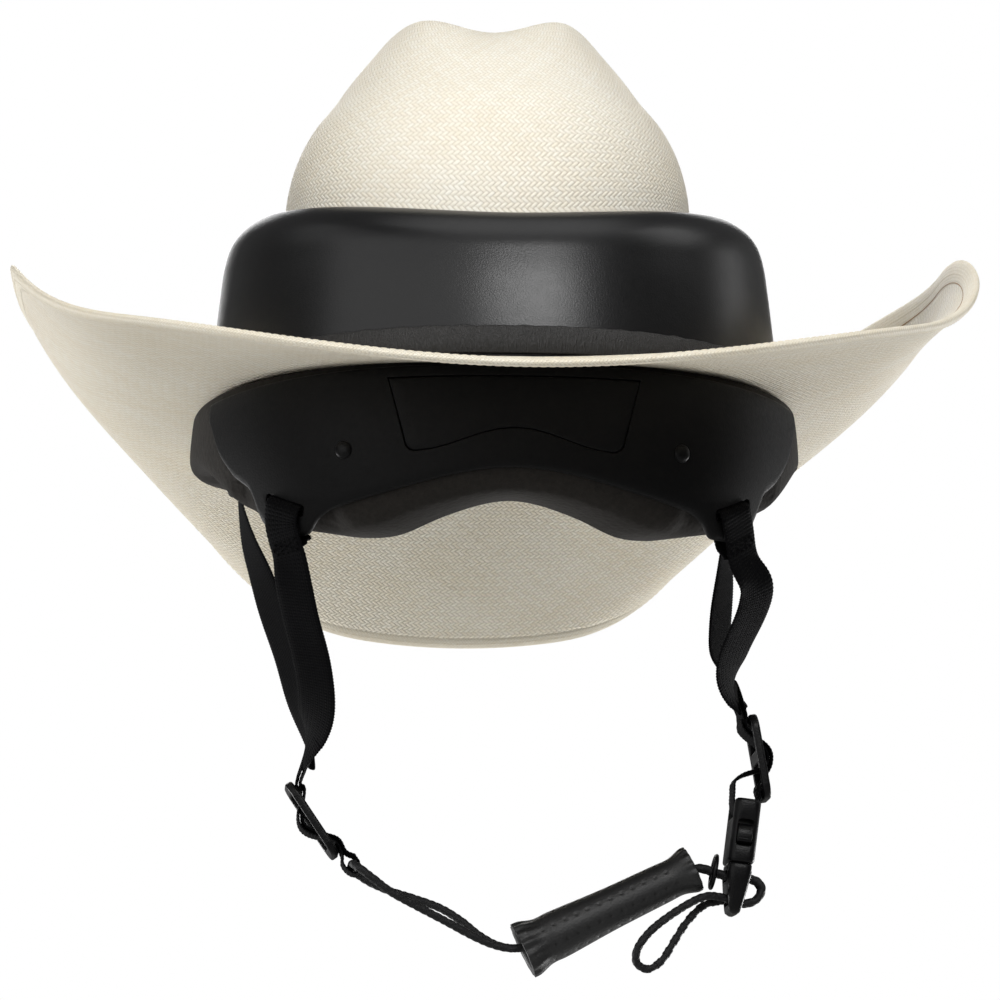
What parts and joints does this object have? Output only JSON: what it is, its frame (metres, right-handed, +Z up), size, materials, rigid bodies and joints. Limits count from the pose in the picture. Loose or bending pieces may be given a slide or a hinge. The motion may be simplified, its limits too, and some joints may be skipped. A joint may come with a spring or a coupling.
{
  "type": "western hat helmet",
  "caption": "Riding helmet shaped as a straw western hat, with a hard shell, foam liner, rear cover and a chin harness with a squeeze buckle and a leather chin pad.",
  "frame": {"origin": "centre of the head opening at the height of the brim, where the wearer's head goes in", "axes": "+X to the wearer's right, +Y to the wearer's front, +Z up along the head"},
  "size_m": [0.3679, 0.4693, 0.3718],
  "materials": {
    "straw": "matte woven",
    "straw_edge": "matte woven",
    "shell": "satin",
    "strip": "grained",
    "foam": "matte",
    "cover": "matte",
    "pad_cloth": "matte",
    "webbing": "ribbed",
    "buckle_plastic": "satin",
    "pad_leather": "perforated",
    "lace_cord": "braided"
  },
  "bodies": {
    "helmet": {"straw_crown": "straw", "straw_brim": "straw", "brim_edge": "straw_edge", "helmet_shell": "shell", "shell_base_strip": "strip", "foam_liner": "foam", "rear_cover": "cover", "cover_insert": "cover", "cover_rivets": "cover", "brow_pad": "pad_cloth", "crown_pad": "pad_cloth", "left_side_pad": "pad_cloth", "right_side_pad": "pad_cloth", "nape_pad": "pad_cloth", "left_front_anchor": "buckle_plastic", "right_front_anchor": "buckle_plastic"},
    "harness": {"left_rear_strap": "webbing", "right_rear_strap": "webbing", "left_front_strap": "webbing", "right_front_strap": "webbing", "buckle_housing": "buckle_plastic"},
    "left_slider": {"left_slider": "buckle_plastic"},
    "right_slider": {"right_slider": "buckle_plastic"},
    "chin_line": {"buckle_plug": "buckle_plastic", "lace": "lace_cord"},
    "front_prong": {"front_prong": "buckle_plastic"},
    "rear_prong": {"rear_prong": "buckle_plastic"},
    "chin_pad": {"chin_pad_sleeve": "pad_leather", "chin_pad_core": "foam"},
    "lace_stopper": {"lace_stopper": "buckle_plastic"}
  },
  "joints": [
    {"name": "harness_swing", "type": "hinge", "parent": "helmet", "child": "harness", "pos_m": [0, -0.0285, -0.045], "axis": [1, 0, 0], "range_deg": [-15, 15], "deforming": ["left_rear_strap", "right_rear_strap", "left_front_strap", "right_front_strap"]},
    {"name": "left_slider_slide", "type": "slide", "parent": "harness", "child": "left_slider", "axis": [-0.5592, 0, 0.829], "range_m": [0, 0.008]},
    {"name": "right_slider_slide", "type": "slide", "parent": "harness", "child": "right_slider", "axis": [-0.165, 0, 0.9863], "range_m": [0, 0.008]},
    {"name": "buckle_release", "type": "slide", "parent": "harness", "child": "chin_line", "axis": [-0.1305, 0, -0.9914], "range_m": [0, 0.022], "deforming": ["front_prong", "rear_prong", "lace"]},
    {"name": "front_prong_squeeze", "type": "hinge", "parent": "chin_line", "child": "front_prong", "pos_m": [0.09163, -0.01725, -0.17608], "axis": [0.9914, 0, -0.1305], "range_deg": [0, 7], "stiffness_Nm_per_rad": 0.05},
    {"name": "rear_prong_squeeze", "type": "hinge", "parent": "chin_line", "child": "rear_prong", "pos_m": [0.09163, -0.03475, -0.17608], "axis": [0.9914, 0, -0.1305], "range_deg": [-7, 0], "stiffness_Nm_per_rad": 0.05},
    {"name": "chin_pad_slide", "type": "slide", "parent": "chin_line", "child": "chin_pad", "axis": [0.8988, 0, 0.4384], "range_m": [-0.01, 0.001]},
    {"name": "stopper_slide", "type": "slide", "parent": "chin_line", "child": "lace_stopper", "axis": [0.9816, 0, -0.1908], "range_m": [-0.0008, 0.0025]}
  ]
}
